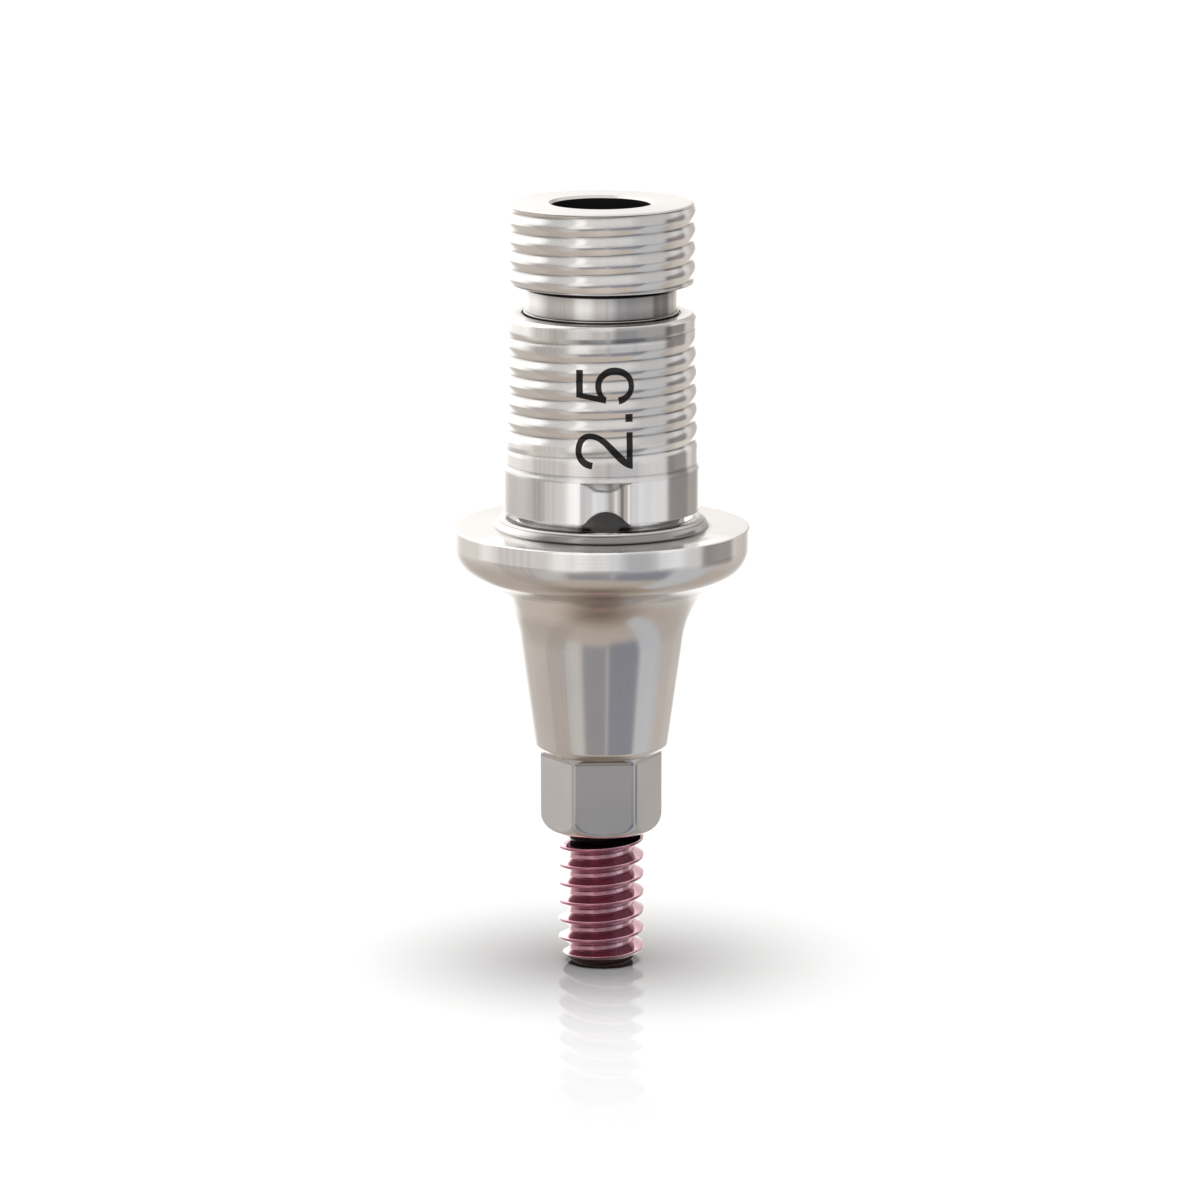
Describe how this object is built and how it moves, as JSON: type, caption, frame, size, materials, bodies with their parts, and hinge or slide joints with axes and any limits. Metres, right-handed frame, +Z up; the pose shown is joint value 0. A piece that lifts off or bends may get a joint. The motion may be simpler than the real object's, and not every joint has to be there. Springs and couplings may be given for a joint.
{
  "type": "dental abutment",
  "caption": "Straight dental abutment: hexagonal implant cone, flared collar with flange, grooved chimney with a neck for shortening, and a clamping screw inside.",
  "frame": {"origin": "on the axis at the implant platform, where the connection cone enters the implant", "axes": "+Z up the axis towards the chimney's top, -Y out through the flute of the chimney"},
  "size_m": [0.0056, 0.0056, 0.0144],
  "materials": {
    "polished_titanium": "polished titanium alloy, bright on the chimney and a little warmer on the cuff",
    "pink_anodised_titanium": "anodised titanium alloy, magenta pink"
  },
  "bodies": {
    "abutment": {"abutment_body": "polished_titanium"},
    "screw": {"abutment_screw": "pink_anodised_titanium"}
  },
  "joints": [
    {"name": "screw_turn", "type": "hinge", "parent": "abutment", "child": "screw", "pos_m": [0, 0, 0.0003], "axis": [0, 0, 1], "continuous": true}
  ]
}
